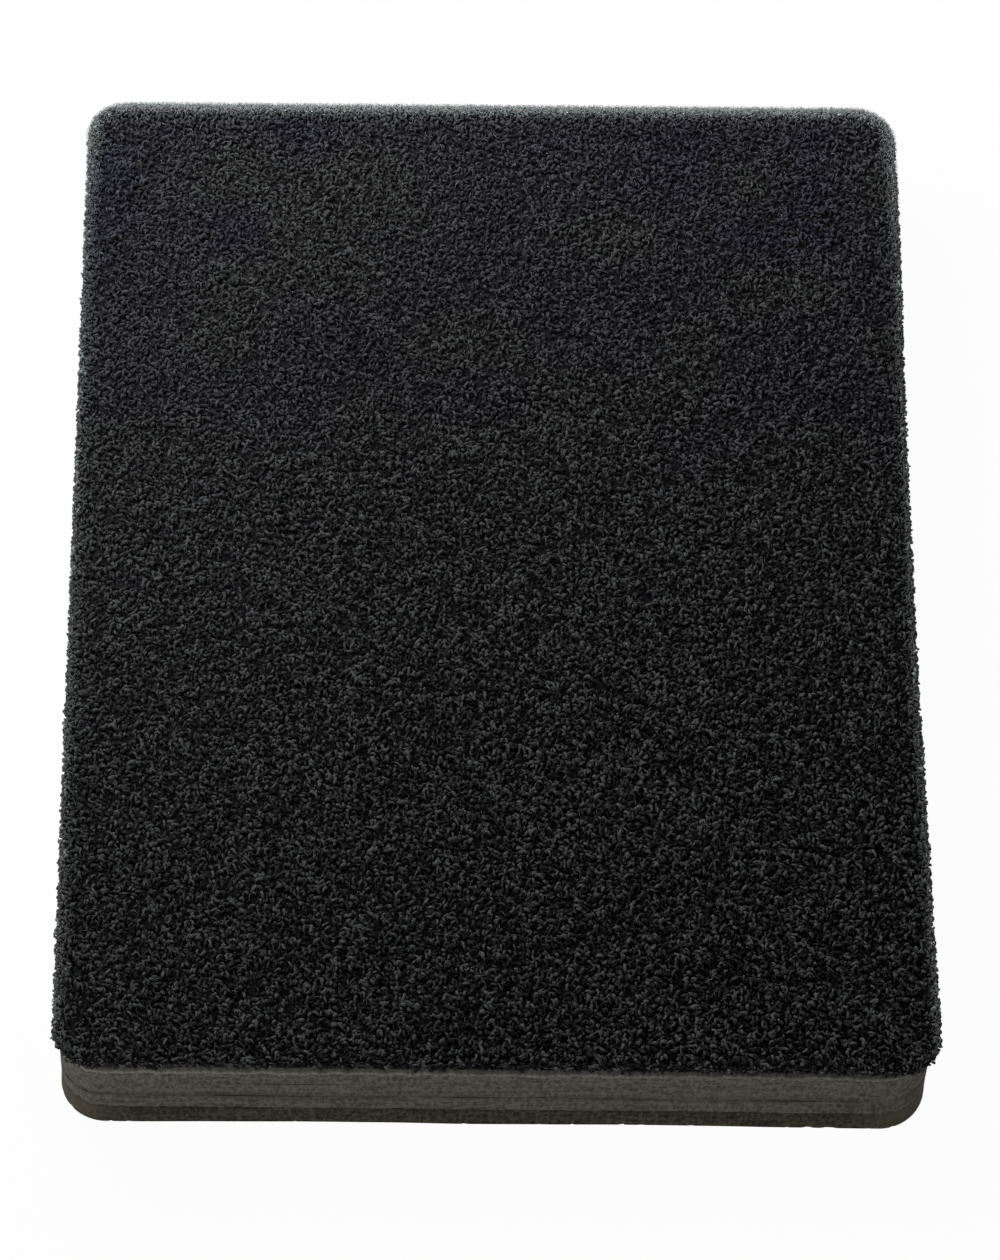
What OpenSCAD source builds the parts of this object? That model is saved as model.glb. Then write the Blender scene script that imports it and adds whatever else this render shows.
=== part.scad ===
// Pad eraser for a chalkboard: a die-cut stack of foam sheets with a pile fabric face.
// It lies with its base sheet down and its wiping face up. Millimetres, +Z up,
// +Y along its length, and the origin at the middle of its underside.

/* [Block] */
// Width of the foam block, across its short way
block_w = 75.2; // [45:0.1:120]
// Length of the foam block
block_l = 100.6; // [60:0.1:160]
// Radius of the block's four upright corners
block_corner_r = 4; // [2:0.1:12]

/* [Foam sheets] */
// Thickness of each grey foam sheet
foam_t = 2.25; // [1:0.05:6]

/* [Base sheet] */
// Thickness of the dark base sheet
base_t = 2.8; // [1:0.1:6]
// How far the base sheet's edge draws in at the middle of each side
base_draw_in = 0.15; // [0.05:0.05:1]
// Straight stretch beside each corner where the base sheet is flush with the foam
base_flush_run = 3; // [0.5:0.5:10]

/* [Bond films] */
// Thickness of each glue film between two sheets
film_t = 0.05; // [0.03:0.01:0.3]
// How far a glue film stops short of the edges of the sheets that it joins
film_inset = 0.2; // [0.1:0.05:0.5]
// Thickness of the hot-melt film under the fabric
face_film_t = 0.1; // [0.05:0.01:0.4]

/* [Wiping fabric] */
// Thickness of the knitted ground cloth
cloth_t = 0.4; // [0.2:0.05:1]
// Height of the pile above its ground cloth
pile_h = 1.4; // [0.6:0.1:3]
// How far the pile stands out past the block, all round
pile_overhang = 0.5; // [0.1:0.1:2]
// Radius of the pile's corners, seen from above
pile_corner_r = 3.8; // [2:0.1:12]

/* [Hidden] */
$fn = 96;

foam_sheets = 3;
// A long shallow arc needs many segments to look smooth
arc_fn = 1440;

// Heights of the layers, from the underside up. Each pair is a glue film and a sheet.
pair_t = film_t + foam_t;
face_film_z = base_t + foam_sheets * pair_t;
cloth_z = face_film_z + face_film_t;
pile_z = cloth_z + cloth_t;

// The pile's rim is a full round
rim_r = pile_h / 2;
pile_w = block_w + 2 * pile_overhang;
pile_l = block_l + 2 * pile_overhang;

function film_z(n) = base_t + (n - 1) * pair_t;
function foam_z(n) = film_z(n) + film_t;
// The first film stays inside the base sheet, whose edge draws in
function film_margin(n) = film_inset + (n == 1 ? base_draw_in : 0);
// Radius of the arc over a chord that rises by sag in its middle
function arc_radius(chord, sag) = (chord * chord / 4 + sag * sag) / (2 * sag);

// Puts the children at the centres of the four corners, each turned to face outwards
module at_corners(w, l, r) {
    centres = [
        [w / 2 - r, l / 2 - r], [r - w / 2, l / 2 - r],
        [r - w / 2, r - l / 2], [w / 2 - r, r - l / 2]
    ];
    for (i = [0:3])
        translate([centres[i].x, centres[i].y, 0])
            rotate(90 * i)
                children();
}

// Outline of the block, with an even margin taken off all round
module block_outline(margin = 0) {
    w = block_w - 2 * margin;
    l = block_l - 2 * margin;
    r = block_corner_r - margin;
    square([w - 2 * r, l], center = true);
    square([w, l - 2 * r], center = true);
    at_corners(w, l, r)
        circle(r);
}

// The shallow arc that one side of the base sheet draws in by, at +X
module side_arc(across, along) {
    chord = along - 2 * (block_corner_r + base_flush_run);
    r = arc_radius(chord, base_draw_in);
    translate([across / 2 - base_draw_in + r, 0])
        circle(r, $fn = arc_fn);
}

module base_outline() {
    difference() {
        block_outline();
        for (turn = [0, 180]) {
            rotate(turn)
                side_arc(block_w, block_l);
            rotate(turn + 90)
                side_arc(block_l, block_w);
        }
    }
}

module layer(z, thickness) {
    translate([0, 0, z])
        linear_extrude(thickness)
            children();
}

module base_sheet() {
    color("#2d2a24")
        layer(0, base_t)
            base_outline();
}

module bond_film(n) {
    color("#35322c")
        layer(film_z(n), film_t)
            block_outline(film_margin(n));
}

module foam_sheet(n) {
    color("#45433c")
        layer(foam_z(n), foam_t)
            block_outline();
}

module face_film() {
    color("#55524a")
        layer(face_film_z, face_film_t)
            block_outline(film_inset);
}

module ground_cloth() {
    color("#4f4c47")
        layer(cloth_z, cloth_t)
            block_outline();
}

// Half of the pile's edge in section, from its corner centre out to the rim
module rim_section() {
    square([pile_corner_r - rim_r, pile_h]);
    translate([pile_corner_r - rim_r, rim_r])
        intersection() {
            circle(rim_r);
            translate([0, -rim_r])
                square([rim_r, pile_h]);
        }
}

// One straight stretch of the pile's edge, facing +X
module rim_side(across, along) {
    run = along - 2 * pile_corner_r;
    translate([across / 2 - pile_corner_r, run / 2, 0])
        rotate([90, 0, 0])
            linear_extrude(run)
                rim_section();
}

module pile() {
    color("#212123")
        translate([0, 0, pile_z]) {
            linear_extrude(pile_h)
                square([pile_w - 2 * pile_corner_r, pile_l - 2 * pile_corner_r], center = true);
            for (turn = [0, 180]) {
                rotate(turn)
                    rim_side(pile_w, pile_l);
                rotate(turn + 90)
                    rim_side(pile_l, pile_w);
            }
            at_corners(pile_w, pile_l, pile_corner_r)
                rotate_extrude(angle = 90)
                    rim_section();
        }
}

base_sheet();
bond_film(1);  // bond_film_1
foam_sheet(1);  // foam_sheet_1
bond_film(2);  // bond_film_2
foam_sheet(2);  // foam_sheet_2
bond_film(3);  // bond_film_3
foam_sheet(3);  // foam_sheet_3
face_film();
ground_cloth();
pile();
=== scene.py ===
"""Looks of a pad eraser for a chalkboard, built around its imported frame.

The eraser is a die-cut block of foam sheets glued together, with a curly loop-pile fabric
on its upper face. Lengths are in metres and in the frame's own axes: +Z up, +Y along the
eraser, and its near end at -Y.
"""

import logging
from dataclasses import dataclass, replace
from enum import Enum
from math import cos, pi, radians, sin

import bpy
import numpy as np
from mathutils import Matrix, Vector


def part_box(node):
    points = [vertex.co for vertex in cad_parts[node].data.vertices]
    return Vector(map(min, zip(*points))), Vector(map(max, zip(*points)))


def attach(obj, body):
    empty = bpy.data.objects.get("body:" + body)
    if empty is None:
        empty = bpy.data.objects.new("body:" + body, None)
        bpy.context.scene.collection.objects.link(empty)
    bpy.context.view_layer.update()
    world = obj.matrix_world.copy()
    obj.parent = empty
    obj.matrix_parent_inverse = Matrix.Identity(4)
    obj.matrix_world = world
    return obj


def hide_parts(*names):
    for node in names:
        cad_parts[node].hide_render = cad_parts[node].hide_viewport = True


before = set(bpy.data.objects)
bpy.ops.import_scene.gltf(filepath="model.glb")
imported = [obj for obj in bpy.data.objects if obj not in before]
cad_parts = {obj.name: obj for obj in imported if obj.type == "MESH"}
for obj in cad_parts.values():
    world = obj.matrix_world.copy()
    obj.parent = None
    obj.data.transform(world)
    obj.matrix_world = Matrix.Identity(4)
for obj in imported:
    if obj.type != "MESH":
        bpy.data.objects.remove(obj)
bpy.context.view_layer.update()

MM = 0.001
SHARPEST_CORNER = 0.05 * MM
HASH_ACROSS, HASH_UP, HASH_SEED, HASH_MIX = 374761393, 668265263, 362437, 1274126177
log = logging.getLogger("eraser")


class Slot(Enum):
    """Names of the record's material slots."""

    BASE_FOAM = "base_foam"
    GREY_FOAM = "grey_foam"
    KNIT_GROUND = "knit_ground"
    LOOP_PILE = "loop_pile"


class Seed:
    """The seeds of the random draws and of the noise."""

    LOOP_PLACES = 1
    FUZZ_PLACES = 2
    BED_TONE = 3
    STRAY_PLACES = 4
    BED_LUMPS = FUZZ_RAMP = 5
    FUZZ = 6
    CLOTH_EDGE = 7
    FUZZ_KEPT = 8
    CLOTH_TONE = 9
    LOOPS = CLOTH_TINT = 11
    CLOUD = 31
    CLUMP = 32
    SPECK = 37


# ---------------------------------------------------------------- noise and meshes


def lattice(column: np.ndarray, row: np.ndarray, seed: int) -> np.ndarray:
    """Gives each crossing of a grid its own fixed random number.

    Args:
        column: whole numbers across the grid.
        row: whole numbers up the grid.
        seed: which grid of numbers to read.

    Returns:
        Numbers from -1 to 1.
    """
    mixed = (
        column.astype(np.uint32) * np.uint32(HASH_ACROSS)
        + row.astype(np.uint32) * np.uint32(HASH_UP)
        + np.uint32(seed) * np.uint32(HASH_SEED)
    )
    mixed = (mixed ^ (mixed >> np.uint32(13))) * np.uint32(HASH_MIX)
    mixed = mixed ^ (mixed >> np.uint32(16))
    return (mixed & np.uint32(0xFFFF)).astype(float) / 32767.5 - 1.0


def soft_noise(across: np.ndarray, up: np.ndarray, seed: int, wrap: int = 0) -> np.ndarray:
    """Smooth random hills on a grid of unit cells.

    Args:
        across: places across the grid, in cells.
        up: places up the grid, in cells.
        seed: which hills to read.
        wrap: how many cells round it repeats in, or 0.

    Returns:
        Heights from -1 to 1.
    """
    low_x, low_y = np.floor(across), np.floor(up)
    fade_x, fade_y = (t * t * (3 - 2 * t) for t in (across - low_x, up - low_y))
    columns = [(low_x + k) % wrap if wrap else low_x + k for k in (0, 1)]
    columns = [c.astype(np.int64) for c in columns]
    rows = [(low_y + k).astype(np.int64) for k in (0, 1)]
    below, above = (
        lattice(columns[0], r, seed) * (1 - fade_x) + lattice(columns[1], r, seed) * fade_x
        for r in rows
    )
    return below * (1 - fade_y) + above * fade_y


def make_piece(
    name: str,
    points: np.ndarray,
    quads: np.ndarray,
    caps: tuple[np.ndarray, ...] = (),
) -> bpy.types.Object:
    """Makes a smooth-shaded mesh object.

    Args:
        name: the piece's name.
        points: its points, in metres.
        quads: four point numbers for each four-sided face.
        caps: the point numbers of each many-sided face.

    Returns:
        The new object, in the scene.
    """
    corners = np.concatenate([quads.ravel(), *caps]).astype(np.int32)
    sizes = np.concatenate([np.full(len(quads), 4), [len(c) for c in caps]]).astype(np.int32)
    starts = np.concatenate([[0], np.cumsum(sizes)[:-1]]).astype(np.int32)
    mesh = bpy.data.meshes.new(name)
    mesh.vertices.add(len(points))
    mesh.vertices.foreach_set("co", points.astype(np.float32).ravel())
    mesh.loops.add(len(corners))
    mesh.loops.foreach_set("vertex_index", corners)
    mesh.polygons.add(len(sizes))
    mesh.polygons.foreach_set("loop_start", starts)
    mesh.update(calc_edges=True)
    mesh.validate()
    mesh.shade_smooth()
    piece = bpy.data.objects.new(name, mesh)
    bpy.context.scene.collection.objects.link(piece)
    return piece


def mark(piece: bpy.types.Object, name: str, values: np.ndarray) -> None:
    """Stores a number or a vector for each point, which the material reads by name.

    Args:
        piece: the piece to mark.
        name: the name that the material reads.
        values: one number or one vector for each point.
    """
    kind, field = ("FLOAT", "value") if values.ndim == 1 else ("FLOAT_VECTOR", "vector")
    layer = piece.data.attributes.new(name, kind, "POINT")
    layer.data.foreach_set(field, values.astype(np.float32).ravel())


def strip_quads(columns: int, rows: int) -> np.ndarray:
    """Faces of a closed band: rows of points, each with the same number of columns.

    Args:
        columns: points in each row.
        rows: how many rows.

    Returns:
        Four point numbers for each face.
    """
    here = np.arange(columns)
    after = (here + 1) % columns
    band = np.stack([here, after, after + columns, here + columns], axis=1)
    return (band[None] + columns * np.arange(rows - 1)[:, None, None]).reshape(-1, 4)


def end_caps(columns: int, rows: int) -> tuple[np.ndarray, np.ndarray]:
    """The two many-sided faces that close such a band, on its first and its last row."""
    return np.arange(columns)[::-1], np.arange(columns) + columns * (rows - 1)


def install(
    piece: bpy.types.Object, node: str, finish: bpy.types.Material
) -> bpy.types.Object:
    """Dresses a piece, makes it ride with the block and stand for a CAD node.

    Args:
        piece: the new piece.
        node: the CAD node that it replaces.
        finish: its material.

    Returns:
        The same piece.
    """
    piece.data.materials.append(finish)
    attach(piece, "root")
    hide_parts(node)
    log.info("%s: %d faces, stands for %s", piece.name, len(piece.data.polygons), node)
    return piece


@dataclass(frozen=True)
class Outline:
    """A rectangle with round corners, seen from above, about the frame's origin."""

    width: float
    length: float
    corner: float
    draw_in: float = 0.0
    flush_run: float = 0.0

    def shrunk(self, margin: float) -> "Outline":
        """The outline with an even margin taken off all round."""
        return replace(
            self,
            width=self.width - 2 * margin,
            length=self.length - 2 * margin,
            corner=max(self.corner - margin, SHARPEST_CORNER),
        )

    def around(self) -> float:
        """Distance round the outline."""
        return 2 * (self.width + self.length) - (8 - 2 * pi) * self.corner

    def counts(self, step: float) -> tuple[int, int, int]:
        """Counts the columns that a spacing gives.

        Args:
            step: the distance from one column to the next.

        Returns:
            Columns on a long side, a short side and a corner.
        """
        runs = (self.length - 2 * self.corner, self.width - 2 * self.corner)
        long, short = (round(run / step) for run in runs)
        return long, short, max(4, round(pi / 2 * self.corner / step))

    def walk(self, counts: tuple[int, int, int]) -> tuple[np.ndarray, np.ndarray, np.ndarray]:
        """Walks once round the outline, anticlockwise from the right-hand side.

        Args:
            counts: columns on a long side, a short side and a corner.

        Returns:
            The points, their outward directions, and the distance walked to each.
        """
        places, outwards, walked, so_far = [], [], [], 0.0
        for turn in range(4):
            out = np.array([cos(turn * pi / 2), sin(turn * pi / 2)])
            along = np.array([-out[1], out[0]])
            half, full = self.width / 2, self.length
            if turn % 2:
                half, full = self.length / 2, self.width
            run = full - 2 * self.corner
            share = np.arange(counts[turn % 2]) / counts[turn % 2]
            from_middle = (share - 0.5) * run
            half_chord = max(run / 2 - self.flush_run, MM)
            dip = self.draw_in * np.clip(1 - (from_middle / half_chord) ** 2, 0, None)
            places.append(out * (half - dip)[:, None] + along * from_middle[:, None])
            outwards.append(np.repeat(out[None], len(share), axis=0))
            walked.append(so_far + share * run)
            so_far += run
            share = np.arange(counts[2]) / counts[2]
            angle = share[:, None] * pi / 2
            arc = np.cos(angle) * out + np.sin(angle) * along
            places.append(out * (half - self.corner) + along * run / 2 + arc * self.corner)
            outwards.append(arc)
            walked.append(so_far + share * self.corner * pi / 2)
            so_far += self.corner * pi / 2
        return np.concatenate(places), np.concatenate(outwards), np.concatenate(walked)


@dataclass(frozen=True)
class DieCut:
    """The small ways in which a cut pad strays from a true rectangle, seen from above."""

    half_width: float
    half_length: float
    flare: float = 0.28 * MM
    flare_run: float = 20 * MM
    flare_hold: float = 1.9
    flare_left: float = 0.2
    corner_run: float = 7 * MM
    corner_flare: float = 0.4
    corner_spill: float = 0.0
    spill_run: float = 12 * MM
    spill_hold: float = 1.2
    spill_forward: float = 0.35
    near_draw: float = 0.0
    right_stretch: float = 0.2 * MM
    far_left_loss: float = 0.24 * MM

    def settle(self, points: np.ndarray) -> np.ndarray:
        """Moves points of the true pad to where the die left them.

        The powers keep each stray close to the corner or the edge that it belongs to.

        Args:
            points: points in the frame's axes.

        Returns:
            The moved points.
        """
        across = np.clip(points[:, 0] / self.half_width, -1, 1)
        along = np.clip(points[:, 1] / self.half_length, -1, 1)
        right, left = ((1 + sign * across) / 2 for sign in (1, -1))
        from_end = self.half_length - np.abs(points[:, 1])
        moved = points.copy()
        flare = np.clip(self.flare_hold - from_end / self.flare_run, 0, 1)
        past_corner = np.clip(from_end / self.corner_run, 0, 1)
        flare = flare * (self.corner_flare + (1 - self.corner_flare) * past_corner)
        moved[:, 0] += self.flare * right**3 * flare
        moved[:, 0] -= self.flare_left * (self.flare + self.corner_spill) * left**3
        spill = np.clip(self.spill_hold - from_end / self.spill_run, 0, 1) * (along < 0)
        spill = self.corner_spill * spill
        moved[:, 0] += spill * right**3
        moved[:, 1] -= self.spill_forward * spill * right**12
        moved[:, 1] += self.near_draw * np.clip(-along, 0, 1) ** 8 * (1 - across**6)
        moved[:, 1] += self.right_stretch * right**2 * along**3
        moved[:, 1] -= self.far_left_loss * left**2 * np.clip(along, 0, 1) ** 3
        return moved


# ---------------------------------------------------------------- node trees


class Graph:
    """A node tree with short calls to add nodes and to join them."""

    def __init__(self, tree: bpy.types.NodeTree) -> None:
        """Works on this tree."""
        self.tree = tree

    def add(self, kind: str, **settings: object) -> bpy.types.Node:
        """Adds a node.

        Args:
            kind: the node's type, without its ShaderNode prefix unless it is a group's end.
            settings: the node's own properties.

        Returns:
            The new node.
        """
        node = self.tree.nodes.new(kind if kind.startswith("NodeGroup") else f"ShaderNode{kind}")
        for name, value in settings.items():
            setattr(node, name, value)
        return node

    def feed(self, node: bpy.types.Node, **inputs: object) -> bpy.types.Node:
        """Sets or links a node's inputs, named with underscores for spaces.

        Args:
            node: the node.
            inputs: an output or a plain value for each input.

        Returns:
            The same node.
        """
        for name, value in inputs.items():
            self.put(node.inputs[name.replace("_", " ")], value)
        return node

    def put(self, socket: bpy.types.NodeSocket, value: object) -> None:
        """Links an output to a socket, or sets the socket's own value.

        Args:
            socket: the input.
            value: an output to link, or a plain value.
        """
        if isinstance(value, bpy.types.NodeSocket):
            self.tree.links.new(value, socket)
        else:
            socket.default_value = value

    def maths(self, operation: str, *values: object, clamp: bool = False) -> bpy.types.NodeSocket:
        """One step of arithmetic.

        Args:
            operation: Blender's name for the step.
            values: numbers or outputs, in the order of the node's inputs.
            clamp: whether the result is held from 0 to 1.

        Returns:
            The result's output.
        """
        node = self.add("Math", operation=operation, use_clamp=clamp)
        for socket, value in zip(node.inputs, values):
            self.put(socket, value)
        return node.outputs[0]

    def stretched(self, vector: object, by: tuple[float, ...]) -> bpy.types.NodeSocket:
        """A vector with each axis multiplied by its own factor.

        Args:
            vector: the vector's output.
            by: a factor for each axis.

        Returns:
            The result's output.
        """
        node = self.add("VectorMath", operation="MULTIPLY")
        self.put(node.inputs[0], vector)
        node.inputs[1].default_value = by
        return node.outputs[0]

    def noise(
        self, vector: object, scale: object, detail: float = 3.0, roughness: float = 0.5
    ) -> bpy.types.NodeSocket:
        """Cloudy noise from 0 to 1, about 0.5.

        Args:
            vector: where it is read.
            scale: how fine it is.
            detail: how many finer layers it has.
            roughness: how strong those layers are.

        Returns:
            The noise's output.
        """
        node = self.add("TexNoise")
        self.feed(node, Vector=vector, Scale=scale, Detail=detail, Roughness=roughness)
        return node.outputs["Fac"]

    def span(
        self, value: object, low: float, high: float, to_low: object = 0.0, to_high: object = 1.0
    ) -> bpy.types.NodeSocket:
        """Maps a value's span on to another, held inside it.

        Args:
            value: the value's output.
            low: where the span starts.
            high: where the span ends.
            to_low: what the start becomes.
            to_high: what the end becomes.

        Returns:
            The result's output.
        """
        node = self.add("MapRange", interpolation_type="SMOOTHSTEP")
        for socket, given in zip(node.inputs, (value, low, high, to_low, to_high)):
            self.put(socket, given)
        return node.outputs["Result"]

    def mix(
        self, share: object, first: object, second: object, blend: str = "MIX"
    ) -> bpy.types.NodeSocket:
        """A colour between two colours, or blended from them.

        Args:
            share: how much of the second colour shows.
            first: the first colour.
            second: the second colour.
            blend: Blender's name for the way of blending.

        Returns:
            The colour's output.
        """
        node = self.add("Mix", data_type="RGBA", blend_type=blend)
        self.put(node.inputs["Factor"], share)
        colours = [s for s in node.inputs if s.type == "RGBA"]
        self.put(colours[0], first)
        self.put(colours[1], second)
        return next(s for s in node.outputs if s.type == "RGBA")


class EffectGroup:
    """A shader node group that several finishes share, built once."""

    name = ""
    inputs: dict[str, tuple[str, object]] = {}
    outputs: dict[str, str] = {}

    def tree(self) -> bpy.types.NodeTree:
        """Finds the group's tree, or makes it on the first call.

        Returns:
            The tree.
        """
        made = bpy.data.node_groups.get(self.name)
        if made:
            return made
        made = bpy.data.node_groups.new(self.name, "ShaderNodeTree")
        for name, (kind, value) in self.inputs.items():
            socket = made.interface.new_socket(name, in_out="INPUT", socket_type=kind)
            if value is not None:
                socket.default_value = value
        for name, kind in self.outputs.items():
            made.interface.new_socket(name, in_out="OUTPUT", socket_type=kind)
        graph = Graph(made)
        start, end = graph.add("NodeGroupInput"), graph.add("NodeGroupOutput")
        for name, result in self.wire(graph, start.outputs).items():
            graph.put(end.inputs[name], result)
        return made

    def wire(self, graph: Graph, given: bpy.types.NodeOutputs) -> dict[str, object]:
        """Builds the effect and returns each output's result. Each effect has its own."""
        raise NotImplementedError

    def place(self, graph: Graph, **values: object) -> bpy.types.NodeOutputs:
        """Puts the group in a material with that material's values."""
        node = graph.add("Group", node_tree=self.tree())
        return graph.feed(node, **values).outputs


COLOUR, NUMBER, VECTOR = "NodeSocketColor", "NodeSocketFloat", "NodeSocketVector"


class CutFoamGroup(EffectGroup):
    """Closed-cell foam cut by a die: mottled cells, long knife streaks and small pits."""

    name = "cut_foam"
    inputs = {
        "Place": (VECTOR, None),
        "Body": (COLOUR, (0.1, 0.1, 0.1, 1)),
        "Shade": (COLOUR, (0.05, 0.05, 0.05, 1)),
        "Bloom": (COLOUR, (0.2, 0.2, 0.2, 1)),
        "Streaks": (NUMBER, 0.5),
        "Pits": (NUMBER, 0.5),
        "Seam": (NUMBER, 0.0),
        "Rubbed": (NUMBER, 0.0),
    }
    outputs = {"Colour": COLOUR, "Height": NUMBER}
    streak_scale, streak_squeeze = 230.0, (1, 1, 14)
    mottle_scale, mottle_squeeze = 2800.0, (1, 1, 0.55)
    blot_scale, blot_squeeze = 240.0, (1, 1, 2.5)
    cell_scale, cell_squeeze, cell_lift = 5200.0, (1, 1, 1.3), 0.35
    pit_scale, pit_squeeze = 900.0, (1, 1, 1.5)
    streak_lift = 0.25

    def wire(self, graph: Graph, given: bpy.types.NodeOutputs) -> dict[str, object]:
        """Mottle and streaks colour the wall, and pits and cells lift it.

        Args:
            graph: the group's graph.
            given: the group's inputs.

        Returns:
            The foam's colour and height.
        """
        place = given["Place"]
        along_knife = graph.stretched(place, self.streak_squeeze)
        streak = graph.noise(along_knife, self.streak_scale, 3.0, 0.6)
        squeezed = graph.stretched(place, self.mottle_squeeze)
        mottle = graph.noise(squeezed, self.mottle_scale, 2.0, 0.7)
        blots = graph.noise(graph.stretched(place, self.blot_squeeze), self.blot_scale, 4.0, 0.65)
        cells = graph.add("TexVoronoi", feature="F1")
        squeezed = graph.stretched(place, self.cell_squeeze)
        graph.feed(cells, Vector=squeezed, Scale=self.cell_scale)
        pit = graph.add("TexVoronoi", feature="F1")
        graph.feed(pit, Vector=graph.stretched(place, self.pit_squeeze), Scale=self.pit_scale)
        pits = graph.maths(
            "MULTIPLY", graph.span(pit.outputs["Distance"], 0.12, 0.26, 1.0, 0.0), given["Pits"]
        )
        dark = graph.maths("MULTIPLY", graph.span(streak, 0.36, 0.54, 1.0, 0.0), given["Streaks"])
        dark = graph.maths("ADD", dark, graph.span(mottle, 0.3, 0.56, 0.9, 0.0), clamp=True)
        # Painted shade: the pits, which the bump sinks, are also coloured dark.
        dark = graph.maths("MAXIMUM", dark, pits)
        # Darkening near the seams: glue stains on the grey sheets, and painted shadow under the
        # grey foam's edge on the base sheet.
        stain_and_shadow = graph.span(blots, 0.38, 0.62, 0.35, 1.0)
        stain_and_shadow = graph.maths("MULTIPLY", stain_and_shadow, given["Seam"], clamp=True)
        light = graph.maths("MULTIPLY", graph.span(streak, 0.46, 0.64), given["Streaks"])
        light = graph.maths("ADD", light, graph.span(mottle, 0.44, 0.7, 0.0, 0.9), clamp=True)
        colour = graph.mix(dark, given["Body"], given["Shade"])
        colour = graph.mix(light, colour, given["Bloom"])
        colour = graph.mix(stain_and_shadow, colour, given["Shade"])
        # Painted light: the base sheet lighter near its corners, where light reaches under the
        # foam's edge.
        colour = graph.mix(given["Rubbed"], colour, given["Bloom"])
        height = graph.maths("MULTIPLY", cells.outputs["Distance"], self.cell_lift)
        height = graph.maths("ADD", height, graph.maths("MULTIPLY", streak, self.streak_lift))
        height = graph.maths("SUBTRACT", height, pits)
        return {"Colour": colour, "Height": height}


FULL_DYE = 0.9  # The tone with the fullest colour. From here to 1, strands turn to the brightest colour: a few pale strands at random, and the painted rim light.


class YarnShadeGroup(EffectGroup):
    """Dyed yarn: each strand has its own tone and its own tint."""

    name = "yarn_shade"
    inputs = {
        "Tone": (NUMBER, 0.5),
        "Tint": (NUMBER, 0.5),
        "Deep": (COLOUR, (0.01, 0.01, 0.01, 1)),
        "Full": (COLOUR, (0.04, 0.04, 0.04, 1)),
        "Worn": (COLOUR, (0.12, 0.12, 0.12, 1)),
        "Warm": (COLOUR, (1.0, 1.0, 1.0, 1)),
        "Cool": (COLOUR, (0.9, 0.95, 1.2, 1)),
    }
    outputs = {"Colour": COLOUR}

    def wire(self, graph: Graph, given: bpy.types.NodeOutputs) -> dict[str, object]:
        """Runs from the deepest to the fullest colour, and on to the brightest strands, which the
        painted rim light uses too.

        Args:
            graph: the group's graph.
            given: the group's inputs.

        Returns:
            The strand's colour.
        """
        tone = given["Tone"]
        dyed = graph.mix(graph.span(tone, 0.0, FULL_DYE), given["Deep"], given["Full"])
        tint = graph.mix(given["Tint"], given["Warm"], given["Cool"])
        tinted = graph.mix(1.0, dyed, tint, blend="MULTIPLY")
        # The brightest colour: a few pale strands at random, and the painted rim light on the far
        # and side rims.
        brightest = graph.maths("SUBTRACT", tone, FULL_DYE)
        brightest = graph.maths("MULTIPLY", brightest, 10.0, clamp=True)
        return {"Colour": graph.mix(brightest, tinted, given["Worn"])}


# ---------------------------------------------------------------- finishes


def rgb(red: float, green: float, blue: float) -> tuple[float, float, float, float]:
    """Turns a display colour into the linear colour that sockets take.

    Args:
        red: the red channel, from 0 to 255.
        green: the green channel.
        blue: the blue channel.

    Returns:
        Red, green, blue and a full alpha.
    """
    levels = [c / 255 for c in (red, green, blue)]
    linear = [c / 12.92 if c <= 0.04045 else ((c + 0.055) / 1.055) ** 2.4 for c in levels]
    return (*linear, 1.0)


def new_material(name: str) -> tuple[bpy.types.Material, Graph, bpy.types.Node]:
    """An empty material with its Principled shader joined to its output.

    Args:
        name: the material's name.

    Returns:
        The material, its graph and its Principled node.
    """
    material = bpy.data.materials.new(name)
    material.use_nodes = True
    material.node_tree.nodes.clear()
    graph = Graph(material.node_tree)
    shader = graph.add("BsdfPrincipled")
    graph.feed(graph.add("OutputMaterial"), Surface=shader.outputs[0])
    return material, graph, shader


@dataclass(frozen=True)
class FoamFinish:
    """Cut closed-cell foam, with its colours and how strongly the knife marked it."""

    name: str
    body: tuple[float, float, float]
    shade: tuple[float, float, float]
    bloom: tuple[float, float, float]
    streaks: float
    pits: float
    lift: float = 0.035 * MM
    relief: float = 0.8
    gloss: float = 0.05
    roughness: float = 0.78

    def material(self) -> bpy.types.Material:
        """Builds the finish.

        Returns:
            The material.
        """
        material, graph, shader = new_material(self.name)
        place = graph.add("Attribute", attribute_name="wall").outputs["Vector"]
        cut = CutFoamGroup().place(
            graph,
            Place=place,
            Body=rgb(*self.body),
            Shade=rgb(*self.shade),
            Bloom=rgb(*self.bloom),
            Streaks=self.streaks,
            Pits=self.pits,
            Seam=graph.add("Attribute", attribute_name="seam").outputs["Fac"],
            Rubbed=graph.add("Attribute", attribute_name="corner_lit").outputs["Fac"],
        )
        bump = graph.add("Bump")
        graph.feed(bump, Height=cut["Height"], Distance=self.lift, Strength=self.relief)
        graph.feed(shader, Base_Color=cut["Colour"], Normal=bump.outputs[0])
        shader.inputs["Roughness"].default_value = self.roughness
        shader.inputs["Specular IOR Level"].default_value = self.gloss
        return material


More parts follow.
